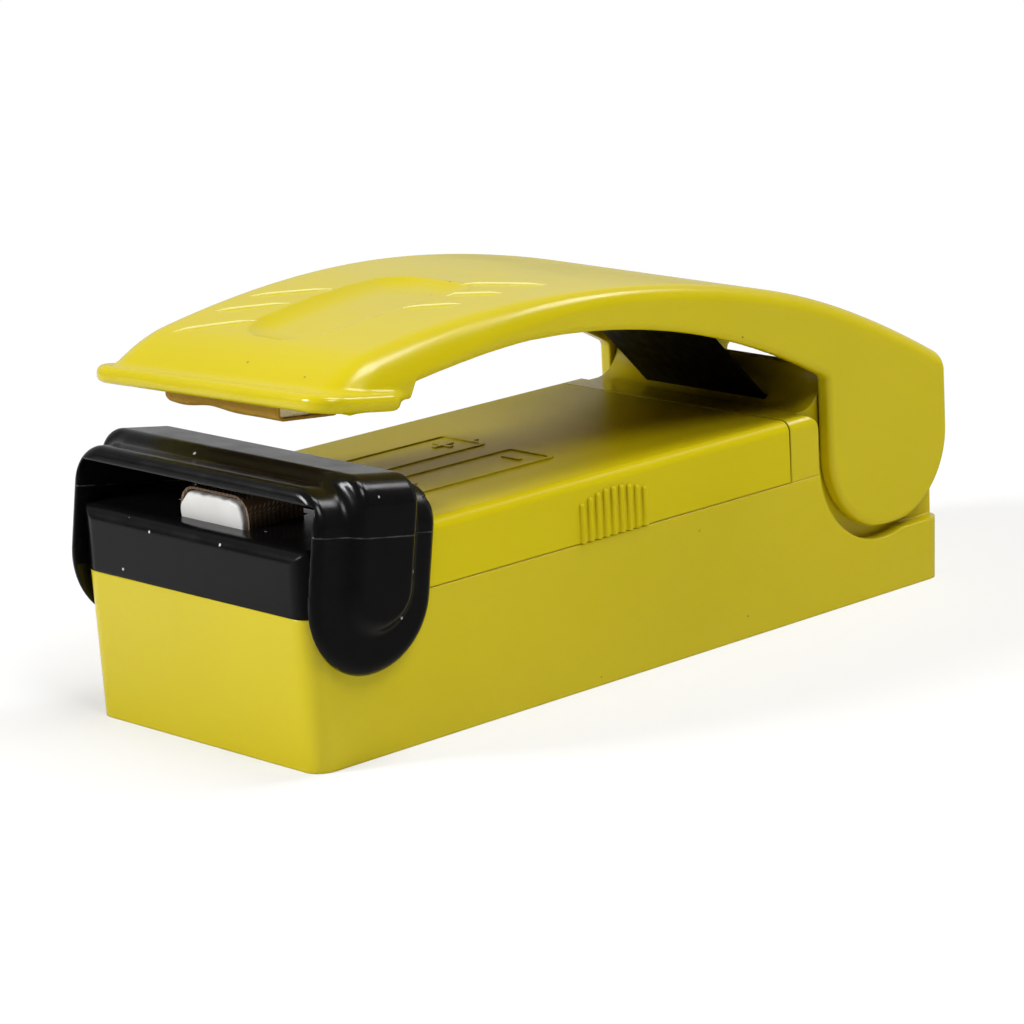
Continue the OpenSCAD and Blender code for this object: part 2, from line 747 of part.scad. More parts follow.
// Raised line on the lever's top from p to q, each given as [x, y]
module top_line(p, q) {
    rod([p[0], p[1], arch_z(p[1], arch_r)], [q[0], q[1], arch_z(q[1], arch_r)], line_r);
}

// Shallow oval dish, cut out of the lever's top
module thumb_hollow() {
    half = thumb_size / 2;
    across_r = (pow(half[1], 2) / thumb_depth + thumb_depth) / 2;
    arch_sag = arch_r - sqrt(pow(arch_r, 2) - pow(half[0], 2));
    sink = thumb_depth - arch_sag;
    along_r = (pow(half[0], 2) / sink + sink) / 2;
    sweep = 16;
    translate([0, thumb_c, arch_z(thumb_c, arch_r)])
        rotate([-asin((thumb_c - arch_c[0]) / arch_r), 0, 0])
            translate([0, 0, along_r - thumb_depth]) rotate([90, 0, 90])
                rotate([0, 0, -90 - sweep / 2]) rotate_extrude(angle = sweep, $fn = 256)
                    translate([along_r - across_r, 0]) circle(across_r, $fn = 96);
}

module lever_arm() place() color(yellow) difference() {
    union() {
        difference() {
            intersection() {
                arched() arm_section(arch_r, lever_half, lever_edge_r);
                along_x(-lever_half - 1, lever_half + 1) lever_side();
                lever_plan(lever_half, lever_plan_y, lever_corner_r);
            }
            lever_hollow();
        }
        lip_frame() linear_extrude(lip_t)
            round_box([-lever_half - lip_side, 0], [lever_half + lip_side, lip_l], lip_r);
        // Rib that keeps the leaf spring's upper end in place
        intersection() {
            box(-leaf_w / 2 - 1, leaf_rib[0], leaf_top[1] - 1.4, leaf_w / 2 + 1, leaf_rib[1],
                leaf_top[1] + 4);
            arched() arm_section(arch_r - 1, lever_half - 1, 1);
        }
        // Stub axles inside the cheeks
        both_sides() along_x(lug_x + 0.3, lever_half - 0.5)
            translate([lever_pivot_y, lever_pivot_z]) circle(stub_r);
        // Six slanting lines, three on each side of the thumb hollow
        line_dir = [7.4, 5.7];
        for (p = [[-15, 22.5], [-14, 16.6], [-13.2, 10.2]]) top_line(p, p + line_dir);
        for (p = [[5.9, 25.5], [5.1, 32]]) top_line(p, p + 0.72 * line_dir);
        top_line([1.8, 37.6], [1.8, 37.6] + line_dir);
    }
    thumb_hollow();
}

module jaw_pad() place() color(silicone) lip_frame()
    box(-pad_half, pad_y[0], -pad_t, pad_half, pad_y[1], -overlap);

// Cloth that goes under the pad and up its front and rear
module jaw_cloth() place() color(tan_cloth) lip_frame() difference() {
    box(-pad_half, pad_y[0] - jaw_cloth_t, -pad_t - jaw_cloth_t,
        pad_half, pad_y[1] + jaw_cloth_t, -overlap);
    box(-pad_half - 1, pad_y[0] - overlap, -pad_t - overlap,
        pad_half + 1, pad_y[1] + overlap, 1);
}

// Flat spring from the housing's floor up to the inside of the lever
module leaf_spring() place() color(dark_steel)
    along_x(-leaf_w / 2, leaf_w / 2) {
        strip_outline(leaf_bend, leaf_top, leaf_t);
        strip_outline(leaf_bend, leaf_curl, leaf_t);
        for (p = [leaf_bend, leaf_curl]) translate(p) circle(leaf_t / 2);
    }

// A straight strip t thick from p to q
module strip_outline(p, q, t) {
    n = [p[1] - q[1], q[0] - p[0]] / norm(q - p) * t / 2;
    polygon([p + n, p - n, q - n, q + n]);
}

// ---------- battery and wiring ----------

// Cell along +Y with its plus end at the far end
module cell_shape() {
    rotate([-90, 0, 0]) rotate_extrude() polygon([
        [0, 0], [4.6, 0], [4.6, 0.25], [cell_r - 0.9, 0.25], [cell_r, 0.9],
        [cell_r, cell_l - 0.7], [cell_r - 0.7, cell_l], [nub_r, cell_l],
        [nub_r, cell_l + nub_l - 0.3], [nub_r - 0.3, cell_l + nub_l], [0, cell_l + nub_l]
    ]);
}

module cell_left() place() color([0.25, 0.27, 0.30])
    translate([-cell_x, bay_y0 + plate_t + slide_gap + nub_l + cell_l, cell_z])
        rotate([0, 0, 180]) cell_shape();

module cell_right() place() color([0.25, 0.27, 0.30])
    translate([cell_x, bay_y1 - plate_t - slide_gap - nub_l - cell_l, cell_z]) cell_shape();

// Contact plate on the front bulkhead with a tab that reaches through it
module front_plate(side) {
    mirror([side < 0 ? 1 : 0, 0, 0]) {
        box(nub_r + 0.3, bay_y0, plate_z[0], tab_x[1], bay_y0 + plate_t, plate_z[1]);
        box(tab_x[0], tab_y, tab_z, tab_x[1], bay_y0 + overlap, tab_z + plate_t);
    }
}

module plus_contact() place() color(brass) front_plate(-1);

module minus_contact() place() color(brass) {
    front_plate(1);
    translate([cell_x, bay_y0 + plate_t - 0.05, cell_z]) rotate([-90, 0, 0])
        coil(spring_r, spring_wire, spring_l + slide_gap, 4);
}

module rear_bridge() place() color(brass) {
    box(-tab_x[0], bay_y1 - plate_t, plate_z[0], tab_x[0], bay_y1, plate_z[1]);
    translate([-cell_x, bay_y1 - plate_t + 0.05, cell_z]) rotate([90, 0, 0])
        coil(spring_r, spring_wire, spring_l + slide_gap, 4);
}

// Under a contact's tab, where a lead is soldered
lead_start = [tab_x[1] - 0.7, tab_y - 0.1, tab_z - lead_r - 0.15];

// From the plus contact to the ribbon's left crimp
module lead_red() place() color([0.65, 0.08, 0.06]) {
    finish = [-crimp_x - lead_r - overlap, block_c, flange_z - 1.5];
    tube(curve([
        [-lead_start[0], lead_start[1], lead_start[2]],
        [0.8 - lead_start[0], tab_y - 2, lead_start[2] - 0.3],
        finish + [-3.4, 2.6, -5.2], finish + [-0.8, 0.4, -3.6], finish
    ]), lead_r, [1, 1, 0]);
}

// From the minus contact to the switch contact's foot
module lead_black() place() color([0.05, 0.05, 0.05]) {
    finish = [(crimp_x + blade_x) / 2, bay_y0 - bulkhead_t - contact_t - lead_r, contact_foot + 1.6];
    tube(curve([
        lead_start, [lead_start[0] - 0.9, tab_y - 1.6, lead_start[2] - 1.5],
        finish + [3.4, -1.4, 0.2], finish
    ]), lead_r, [0, 1, 1]);
}

lower_case();
rear_housing();
battery_cover();
heater_holder();
safety_guard();
lever_arm();
jaw_pad();
jaw_cloth();
leaf_spring();
heater_block();
heater_cloth();
heater_wire();
wire_crimps();
heater_spring();
switch_blade();
switch_contact();
cell_left();
cell_right();
plus_contact();
minus_contact();
rear_bridge();
lead_red();
lead_black();
case_screws();
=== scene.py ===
"""Looks of a hand-held battery sealer for plastic bags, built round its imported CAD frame."""
import math

import bpy
import numpy as np
from mathutils import Matrix, Vector


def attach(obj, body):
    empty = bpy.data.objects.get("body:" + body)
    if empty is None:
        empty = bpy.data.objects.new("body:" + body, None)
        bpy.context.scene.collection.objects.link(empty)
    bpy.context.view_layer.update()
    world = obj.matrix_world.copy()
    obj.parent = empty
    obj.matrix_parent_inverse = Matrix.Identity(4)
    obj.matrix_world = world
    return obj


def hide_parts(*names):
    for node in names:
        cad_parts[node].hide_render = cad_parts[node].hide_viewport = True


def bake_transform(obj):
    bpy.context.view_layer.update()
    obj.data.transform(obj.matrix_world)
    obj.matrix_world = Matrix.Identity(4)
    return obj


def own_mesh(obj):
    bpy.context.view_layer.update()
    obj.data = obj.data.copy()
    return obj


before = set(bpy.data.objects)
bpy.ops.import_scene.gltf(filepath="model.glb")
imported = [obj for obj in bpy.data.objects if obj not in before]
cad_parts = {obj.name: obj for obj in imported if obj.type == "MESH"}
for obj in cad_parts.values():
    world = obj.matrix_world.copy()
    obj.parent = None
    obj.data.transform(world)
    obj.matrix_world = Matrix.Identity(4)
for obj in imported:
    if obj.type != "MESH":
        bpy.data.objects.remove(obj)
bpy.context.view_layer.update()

MM = 0.001
FRONT = -48.3                     # the case's front face, in mm along Y
PIVOT = (87.65, 17.8)             # the lever's pivot: mm behind the front face, height
GUARD_PIVOT = (7.5, 17.65)        # the guard's pivot, measured in the same way
GUARD_LEAN = math.radians(9)      # how far the shut guard leans back
LEVER_SWING = math.radians(5.5)   # how far the open lever stands up


# ---------------------------------------------------------------- camera

SENSOR, LENS = 36, 143.94
CAMERA_PLACE = (0.32084, -0.30011, 0.12407)
CAMERA_DEGREES = (47.187, 13.942, -3.012)     # azimuth, elevation, roll


def make_camera():
    """A long lens that looks down at the near front corner from the right."""
    azimuth, elevation, roll = (math.radians(a) for a in CAMERA_DEGREES)
    back = Vector((math.sin(azimuth) * math.cos(elevation),
                   -math.cos(azimuth) * math.cos(elevation),
                   math.sin(elevation)))
    level = Vector((math.cos(azimuth), math.sin(azimuth), 0))
    upright = back.cross(level)
    right = level * math.cos(roll) + upright * math.sin(roll)
    up = upright * math.cos(roll) - level * math.sin(roll)
    turn = Matrix((right, up, back)).transposed().to_4x4()
    data = bpy.data.cameras.new("camera")
    data.sensor_width = SENSOR
    data.lens = LENS
    camera = bpy.data.objects.new("camera", data)
    camera.matrix_world = Matrix.Translation(CAMERA_PLACE) @ turn
    bpy.context.scene.collection.objects.link(camera)
    bpy.context.scene.camera = camera


make_camera()


# ---------------------------------------------------------------- materials

class Nodes:
    """A short way to build a node material round one Principled shader."""

    def __init__(self, name, **sockets):
        self.material = bpy.data.materials.new(name)
        self.material.use_nodes = True
        self.tree = self.material.node_tree
        self.shader = self.tree.nodes["Principled BSDF"]
        self.output = self.tree.nodes["Material Output"]
        for socket, value in sockets.items():
            self.shader.inputs[socket.replace("_", " ")].default_value = value
        self.where = self.tree.nodes.new("ShaderNodeTexCoord").outputs["Object"]

    def add(self, kind, inputs=None, **settings):
        made = self.tree.nodes.new("ShaderNode" + kind)
        for key, value in settings.items():
            setattr(made, key, value)
        for key, value in (inputs or {}).items():
            if isinstance(value, bpy.types.NodeSocket):
                self.tree.links.new(value, made.inputs[key])
            else:
                made.inputs[key].default_value = value
        return made

    def link(self, value, socket):
        self.tree.links.new(value, self.shader.inputs[socket])

    def noise(self, scale, detail=2.0, roughness=0.5, stretch=None):
        where = self.where
        if stretch:
            where = self.add("Mapping", {"Vector": where, "Scale": stretch}).outputs["Vector"]
        made = self.add("TexNoise", {"Vector": where, "Scale": scale, "Detail": detail,
                                     "Roughness": roughness})
        return made.outputs["Fac"]

    def spread(self, value, low, high, to_low, to_high):
        made = self.add("MapRange", {"Value": value, "From Min": low, "From Max": high,
                                     "To Min": to_low, "To Max": to_high})
        return made.outputs["Result"]

    def math(self, operation, a, b=0.0):
        return self.add("Math", {0: a, 1: b}, operation=operation).outputs["Value"]

    def mix_colour(self, factor, a, b):
        made = self.tree.nodes.new("ShaderNodeMix")
        made.data_type = "RGBA"
        for index, value in ((0, factor), (6, a), (7, b)):
            if isinstance(value, bpy.types.NodeSocket):
                self.tree.links.new(value, made.inputs[index])
            else:
                made.inputs[index].default_value = value
        return made.outputs[2]

    def bump(self, height, depth, strength=1.0, normal=None):
        inputs = {"Height": height, "Distance": depth, "Strength": strength}
        if normal:
            inputs["Normal"] = normal
        return self.add("Bump", inputs).outputs["Normal"]

    def rounded(self, radius):
        """The normal of an edge that is rounded over."""
        return self.add("Bevel", {"Radius": radius}, samples=6).outputs["Normal"]

    def dust(self, scale, share):
        """1 on a few scattered specks, about share of the cells, and 0 elsewhere."""
        cells = self.add("TexVoronoi", {"Vector": self.where, "Scale": scale})
        pick = self.add("TexWhiteNoise", {"Vector": cells.outputs["Position"]}).outputs["Value"]
        near = self.spread(cells.outputs["Distance"], 0.07, 0.12, 1, 0)
        chosen = self.math("LESS_THAN", pick, share)
        return self.math("MULTIPLY", near, chosen)


def yellow_plastic(name, edge, base=(0.60, 0.49, 0.004), gloss=(0.21, 0.27), shine=0.45,
                   painted_shade=False):
    """Moulded plastic with flow mottling, fine grain, a few specks and, if asked, painted shade
    darkening its occluded corners.
    """
    m = Nodes(name, IOR=1.5)
    m.shader.inputs["Specular IOR Level"].default_value = shine
    pale = tuple(c * 1.06 for c in base) + (1,)
    colour = m.mix_colour(m.spread(m.noise(28, 2), 0.35, 0.65, 0, 1), base + (1,), pale)
    colour = m.mix_colour(m.dust(700, 0.012), colour, (0.25, 0.19, 0.03, 1))
    if painted_shade:                     # painted shade, dark brown where ambient occlusion finds parts close by, only over the seam: the floor must not darken the lower sides
        open_sky = m.add("AmbientOcclusion", {"Distance": 0.018}, samples=6).outputs["AO"]
        height = m.add("SeparateXYZ", {"Vector": m.where}).outputs["Z"]
        painted_shade_mask = m.math("MULTIPLY", m.spread(open_sky, 0.2, 0.8, 0.9, 0),
                       m.spread(height, 0.017, 0.022, 0, 1))
        colour = m.mix_colour(painted_shade_mask, colour, (0.12, 0.075, 0.003, 1))
    m.link(colour, "Base Color")
    m.link(m.spread(m.noise(120, 3), 0.3, 0.7, *gloss), "Roughness")
    normal = m.bump(m.noise(60, 2), 0.00005, 0.1, m.rounded(edge) if edge else None)
    m.link(m.bump(m.noise(6500, 1), 0.000004, 0.12, normal), "Normal")
    return m.material


MOULD_LINE_RISE = 6.1             # height of the guard's mould line over its pivot


def black_plastic(name, edge, shine, mould_line=False):
    """Glossy black moulded plastic with dust, hairline wear and, on the guard, a mould line."""
    m = Nodes(name, Roughness=0.2, IOR=1.45)
    m.shader.inputs["Specular IOR Level"].default_value = shine
    colour = m.mix_colour(m.noise(500, 3), (0.0035, 0.0035, 0.0035, 1), (0.006, 0.006, 0.006, 1))
    scuffs = m.spread(m.noise(330, 5, 0.7, (1, 1, 0.25)), 0.68, 0.78, 0, 0.35)
    colour = m.mix_colour(scuffs, colour, (0.02, 0.02, 0.02, 1))
    colour = m.mix_colour(m.dust(560, 0.16), colour, (0.70, 0.68, 0.64, 1))
    m.link(m.spread(m.noise(260, 4, 0.65), 0.3, 0.7, 0.15, 0.27), "Roughness")
    normal = m.bump(m.noise(380, 2), 0.00002, 0.2, m.rounded(edge) if edge else None)
    if mould_line:
        lean, level = math.sin(GUARD_LEAN), math.cos(GUARD_LEAN)
        pivot_rise = lean * (GUARD_PIVOT[0] + FRONT) * MM + level * GUARD_PIVOT[1] * MM
        rise = m.add("VectorMath", {0: m.where, 1: (0, lean, level)},
                     operation="DOT_PRODUCT").outputs["Value"]
        off = m.math("ABSOLUTE", m.math("SUBTRACT", rise, pivot_rise + MOULD_LINE_RISE * MM))
        line = m.spread(off, 0.00003, 0.00010, 1, 0)
        patchy = m.math("MULTIPLY", line, m.spread(m.noise(500, 2), 0.35, 0.65, 0.15, 0.7))
        colour = m.mix_colour(patchy, colour, (0.10, 0.10, 0.10, 1))
        normal = m.bump(line, 0.00006, 0.6, normal)
    m.link(colour, "Base Color")
    m.link(normal, "Normal")
    return m.material


def ceramic_white():
    """Pale satin block with small dark specks."""
    m = Nodes("ceramic_white", Roughness=0.38, IOR=1.5)
    base = m.mix_colour(m.spread(m.noise(260, 3), 0.35, 0.65, 0, 1),
                        (0.79, 0.785, 0.76, 1), (0.87, 0.865, 0.84, 1))
    base = m.mix_colour(m.dust(700, 0.05), base, (0.20, 0.15, 0.11, 1))
    m.link(base, "Base Color")
    m.link(m.bump(m.noise(900, 3), 0.00006, 0.5), "Normal")
    return m.material


def glass_cloth(name, dark, pale, pitch):
    """Coated glass cloth: threads cross at that pitch, with pale dots where they rise."""
    m = Nodes(name, Roughness=0.6, IOR=1.3)
    axes = m.add("SeparateXYZ", {"Vector": m.where}).outputs
    turn = math.tau / pitch
    warp = m.math("SINE", m.math("MULTIPLY", m.math("ADD", axes["X"], axes["Z"]), turn))
    weft = m.math("SINE", m.math("MULTIPLY", m.math("SUBTRACT", axes["Y"], axes["Z"]), turn))
    weave = m.math("MULTIPLY", warp, weft)
    patches = m.spread(m.noise(260, 3), 0.35, 0.65, 0.35, 1.0)
    dots = m.math("MULTIPLY", m.spread(weave, 0.2, 0.9, 0, 1), patches)
    ground = m.mix_colour(m.noise(420, 3, 0.6), dark + (1,), tuple(c * 1.5 for c in dark) + (1,))
    m.link(m.mix_colour(dots, ground, pale + (1,)), "Base Color")
    m.link(m.bump(weave, 0.00005, 0.6), "Normal")
    return m.material


def foam():
    """Fine silicone foam."""
    m = Nodes("foam", Roughness=0.8)
    cells = m.add("TexVoronoi", {"Vector": m.where, "Scale": 2200.0}).outputs["Distance"]
    m.link(m.mix_colour(m.spread(cells, 0, 0.5, 0, 1), (0.72, 0.57, 0.32, 1),
                        (0.92, 0.80, 0.52, 1)), "Base Color")
    m.link(m.bump(cells, 0.0001, 0.7), "Normal")
    return m.material


def metal(name, colour, low, high):
    """Bare metal with fine rubbed streaks; its roughness runs from low to high."""
    m = Nodes(name, Metallic=1.0)
    streaks = m.noise(400, 3, 0.6, (1, 0.12, 1))
    worn = tuple(c * 0.78 for c in colour) + (1,)
    m.link(m.mix_colour(m.noise(300, 2), worn, colour + (1,)), "Base Color")
    m.link(m.spread(streaks, 0.3, 0.7, low, high), "Roughness")
    m.link(m.bump(streaks, 0.00001, 0.4, m.rounded(0.0001)), "Normal")
    return m.material


def dark_steel():
    """Blued spring steel, nearly black, with brown patches."""
    m = Nodes("dark_steel", IOR=1.4)
    m.shader.inputs["Specular IOR Level"].default_value = 0.15
    patches = m.noise(160, 4, 0.6)
    m.link(m.mix_colour(m.spread(patches, 0.35, 0.65, 0, 1), (0.002, 0.002, 0.0015, 1),
                        (0.004, 0.003, 0.002, 1)), "Base Color")
    m.link(m.spread(m.noise(700, 3), 0.3, 0.7, 0.4, 0.6), "Roughness")
    m.link(m.bump(patches, 0.00002, 0.4), "Normal")
    return m.material


def coated(name, colour):
    """Plain satin coating, such as a cell's jacket or a lead's insulation."""
    m = Nodes(name, IOR=1.5)
    shade = tuple(c * 0.7 for c in colour) + (1,)
    m.link(m.mix_colour(m.noise(350, 3), shade, colour + (1,)), "Base Color")
    m.link(m.spread(m.noise(900, 2), 0.3, 0.7, 0.28, 0.45), "Roughness")
    m.link(m.bump(m.noise(2500, 1), 0.00001, 0.3), "Normal")
    return m.material


# The case, housing and cover carry painted shade in their occluded corners, such as under the lever.
YELLOW = yellow_plastic("yellow_plastic", 0.0004, painted_shade=True)
YELLOW_COVER = yellow_plastic("yellow_cover", 0.0002, gloss=(0.28, 0.34), shine=0.08,
                              painted_shade=True)
YELLOW_LEVER = yellow_plastic("yellow_lever", 0)
# The beads' paler yellow is a painted highlight: it stands for the bright gloss along their tops.
YELLOW_LINE_PAINTED_HIGHLIGHT = yellow_plastic("yellow_line_painted_highlight", 0, (0.86, 0.80, 0.26), shine=0.8)
BLACK = black_plastic("black_plastic", 0.0004, 0.18)
BLACK_GUARD = black_plastic("black_guard", 0, 0.29, True)
WHITE = ceramic_white()
JAW_CLOTH = glass_cloth("jaw_cloth", (0.36, 0.20, 0.016), (0.46, 0.29, 0.06), 0.0005)
HEATER_CLOTH = glass_cloth("heater_cloth", (0.14, 0.085, 0.045), (0.55, 0.43, 0.32), 0.0006)
FOAM = foam()
STEEL = metal("bright_steel", (0.60, 0.60, 0.62), 0.22, 0.42)
BRASS = metal("brass", (0.78, 0.58, 0.26), 0.22, 0.4)
DARK_STEEL = dark_steel()
JACKET = coated("cell_jacket", (0.12, 0.13, 0.16))
RED = coated("red_insulation", (0.55, 0.03, 0.02))
BLACK_LEAD = coated("black_insulation", (0.02, 0.02, 0.02))

NODE_MATERIALS = {
    "lower_case": YELLOW, "rear_housing": YELLOW, "battery_cover": YELLOW_COVER, "lever_arm": YELLOW,
    "heater_holder": BLACK, "safety_guard": BLACK,
    "jaw_pad": FOAM, "jaw_cloth": JAW_CLOTH, "heater_cloth": HEATER_CLOTH, "heater_block": WHITE,
    "leaf_spring": DARK_STEEL, "heater_wire": STEEL, "heater_spring": STEEL,
    "case_screws": STEEL, "wire_crimps": BRASS, "switch_blade": BRASS, "switch_contact": BRASS,
    "plus_contact": BRASS, "minus_contact": BRASS, "rear_bridge": BRASS,
    "cell_left": JACKET, "cell_right": JACKET, "lead_red": RED, "lead_black": BLACK_LEAD,
}

for node, material in NODE_MATERIALS.items():
    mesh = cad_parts[node].data
    mesh.materials.clear()
    mesh.materials.append(material)


# ---------------------------------------------------------------- blended solids
# A moulded piece is a field over x, y and z in mm, y behind the front face: below 0 inside it.

def both(a, b, r):
    """What a and b share, with its edge rounded to r."""
    r = np.maximum(r, 1e-6)
    return np.minimum(-r, np.maximum(a, b)) + np.hypot(np.maximum(r + a, 0), np.maximum(r + b, 0))


def either(a, b, r):
    """a and b together, with a fillet of radius r between them."""
    return -both(-a, -b, r)


def rectangle(p, q, half_p, half_q, r=0.0):
    dp, dq = np.abs(p) - (half_p - r), np.abs(q) - (half_q - r)
    return np.hypot(np.maximum(dp, 0), np.maximum(dq, 0)) + np.minimum(np.maximum(dp, dq), 0) - r


def ramp(value, low, high, at_low, at_high):
    t = np.clip((value - low) / (high - low), 0, 1)
    return at_low + (at_high - at_low) * t * t * (3 - 2 * t)


def skin(field, low, high, step):
    """The field's zero surface as vertices and quads, one vertex to each cell that it crosses."""
    axes = [np.arange(a - 2 * step, b + 2.5 * step, step) for a, b in zip(low, high)]
    x, y, z = np.meshgrid(*axes, indexing="ij", sparse=True)
    value = np.broadcast_to(field(x, y, z), tuple(len(a) for a in axes)).astype(np.float32)
    solid = value < 0
    corners = [(i, j, k) for i in (0, 1) for j in (0, 1) for k in (0, 1)]
    cut = tuple(n - 1 for n in solid.shape)
    count = sum(solid[i:i + cut[0], j:j + cut[1], k:k + cut[2]].astype(np.int8)
                for i, j, k in corners)
    cell = np.argwhere((count > 0) & (count < 8))
    number = np.full(cut, -1, dtype=np.int64)
    number[tuple(cell.T)] = np.arange(len(cell))
    at = [value[tuple((cell + c).T)] for c in corners]
    total, hits = np.zeros((len(cell), 3)), np.zeros(len(cell))
    for a, p in enumerate(corners):
        for b, q in enumerate(corners):
            if b > a and sum(abs(m - n) for m, n in zip(p, q)) == 1:
                crossed = (at[a] < 0) != (at[b] < 0)
                t = np.where(crossed, at[a] / np.where(crossed, at[a] - at[b], 1), 0)
                total += crossed[:, None] * (np.array(p) + t[:, None] * (np.array(q) - np.array(p)))
                hits += crossed
    start = np.array([a[0] for a in axes])
    points = start + step * (cell + total / hits[:, None])

    def at_points(p):
        return field(p[:, 0], p[:, 1], p[:, 2])

    def slope(p):
        h = 0.01
        shifts = np.eye(3) * h
        return np.stack([(at_points(p + s) - at_points(p - s)) / (2 * h) for s in shifts], -1)

    for _ in range(3):
        g = slope(points)
        move = -at_points(points)[:, None] * g / np.maximum((g * g).sum(-1, keepdims=True), 0.05)
        reach = np.linalg.norm(move, axis=-1, keepdims=True)
        points = points + move * np.minimum(1, 0.4 * step / np.maximum(reach, 1e-9))
    quads = []
    for axis in range(3):
        u, v = [(1, 2), (2, 0), (0, 1)][axis]
        here = [slice(None)] * 3
        there = [slice(None)] * 3
        here[axis], there[axis] = slice(None, -1), slice(1, None)
        a, b = solid[tuple(here)], solid[tuple(there)]
        edge = np.argwhere(a != b)
        edge = edge[(edge[:, u] > 0) & (edge[:, v] > 0)]
        inside = a[tuple(edge.T)]
        back_u, back_v = np.zeros(3, int), np.zeros(3, int)
        back_u[u], back_v[v] = 1, 1
        ring = [number[tuple((edge - s).T)] for s in (0 * back_u, back_u, back_u + back_v, back_v)]
        ring = np.stack(ring, -1)
        ring[~inside] = ring[~inside][:, ::-1]
        quads.append(ring)
    quads = np.concatenate(quads)
    return points, quads[(quads >= 0).all(-1)], slope(points)


def new_piece(name, mesh, material):
    """Puts a smooth piece with that mesh and material into the scene."""
    for polygon in mesh.polygons:
        polygon.use_smooth = True
    mesh.materials.append(material)
    piece = bpy.data.objects.new(name, mesh)
    bpy.context.scene.collection.objects.link(piece)
    return piece


def moulded(name, field, low, high, step, material, body, *nodes):
    """A piece that takes its skin from a field and stands for those CAD nodes."""
    points, quads, normals = skin(field, low, high, step)
    points = (points + (0, FRONT, 0)) * MM
    mesh = bpy.data.meshes.new(name)
    mesh.from_pydata(points.tolist(), [], quads.tolist())
    mesh.validate()
    piece = new_piece(name, mesh, material)
    normals = normals / np.maximum(np.linalg.norm(normals, axis=-1, keepdims=True), 1e-9)
    mesh.normals_split_custom_set_from_vertices(normals.tolist())
    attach(piece, body)
    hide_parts(*nodes)
    return piece


# ---------------------------------------------------------------- lever

ARCH_R, SKIRT_R = 127.6, 96.5     # the top's arch, and the sides' lower edge
ARCH_START_Z, ARCH_END_Z = 39.0, 25.9
SKIRT_DROP = (3.75, 8.3)          # how far the lower edge lies under the arch, in front and behind
CHEEK_R = 10.0
LEVER_HALF = 18.3
LEVER_WALL = 1.9
FULLER_Y, FULLER_SPREAD, FULLER_RISE = 76, 12, 0.27     # where the arch is a little fuller
LIP_START, LIP_Z = 2.75, 36.4
LIP_LENGTH, LIP_HALF, LIP_THICK = 11.5, 19.3, 1.85
LIP_PITCH = math.radians(8.4)
LIP_TWIST = 0.028                 # how far the moulding has warped: rise of the lip per mm of x
FOOT = (11.75, 15.9)              # start and end of the foot behind the lip
FOOT_Z = 36.05
NOSE = (2.9, 38.0)                # a point on the front slope
NOSE_SLOPE = math.radians(53.7)
NOSE_SKEW = 0.045                 # the near side of the slope stands further back
NOSE_Z = 37.2                     # the sides reach down to this behind the slope
NOSE_WALL = 2.6
THUMB_Y, THUMB_LENGTH, THUMB_HALF = 24.7, 24.8, 6.6
THUMB_CORNER, THUMB_SLOPE, THUMB_DEPTH = 4.8, 3.6, 0.85
THUMB_WIDEN = 0.011               # how much wider the hollow gets per mm to the rear
STUB_R, STUB_X = 2.4, (13.05, 17.5)                     # the pivot stubs inside the cheeks
RIB_Y, RIB_Z, RIB_HALF, RIB_HALF_THICK = 61.6, 34.9, 9.0, 0.6    # the rib that stops the leaf
NOSE_ROUND, REAR_ROUND, LOWER_ROUND = 5.2, 0.9, 0.7
EDGE_ROUND = (4.0, 1.7)           # the top's long edges, in front and behind
INSIDE_ROUND, INSIDE_NOSE_ROUND, RIM_ROUND = 1.2, 2.5, 0.25
LIP_ROUND, LIP_FILLET = 0.8, 0.6
LIP_CORNER = (3.5, 2.0)           # the lip's corners, in front and behind


def arc_centre(p, q, r):
    """Centre of the circle of radius r through p and q that bulges upward."""
    p, q = np.array(p), np.array(q)
    span = np.linalg.norm(q - p)
    d = (q - p) / span
    return (p + q) / 2 + math.sqrt(r * r - span * span / 4) * np.array((d[1], -d[0]))


LEVER_REAR = PIVOT[0] + CHEEK_R
ARCH = arc_centre((LIP_START, ARCH_START_Z), (LEVER_REAR, ARCH_END_Z), ARCH_R)


def arch_z(y):
    """Height of the plain arch."""
    return ARCH[1] + np.sqrt(ARCH_R * ARCH_R - (y - ARCH[0]) ** 2)


CHEEK_FRONT = PIVOT[0] - CHEEK_R
SKIRT = arc_centre((FOOT[1], arch_z(FOOT[1]) - SKIRT_DROP[0]),
                   (CHEEK_FRONT, arch_z(CHEEK_FRONT) - SKIRT_DROP[1]), SKIRT_R)


def lip_place(x, y, z):
    """Length along the lip and height over its underside."""
    s, c = math.sin(LIP_PITCH), math.cos(LIP_PITCH)
    z = z - LIP_TWIST * x
    return (y - LIP_START) * c - (z - LIP_Z) * s, (y - LIP_START) * s + (z - LIP_Z) * c


def lever_side(y, z):
    """Seen from the side, below 0 over the lever's lower edge: skirt, nose, cheek or foot."""
    skirt = SKIRT_R - np.hypot(y - SKIRT[0], z - SKIRT[1]) - ramp(y, 20, 34, 0.3, 0)
    skirt = np.maximum(skirt, FOOT[0] - 4 - y)
    cheek = np.hypot(np.minimum(y - PIVOT[0], 0), np.minimum(z - PIVOT[1], 0)) - CHEEK_R
    heel = (y - FOOT[1] + 0.15 - 0.5 * (z - FOOT_Z)) * 0.9
    foot = np.maximum(np.maximum(FOOT_Z - z, heel), FOOT[0] - 3.6 - y)
    nose = np.maximum(NOSE_Z - z, y - FOOT[1] + 2)
    return np.minimum(np.minimum(skirt, nose), np.minimum(either(cheek, skirt, 0.35), foot))


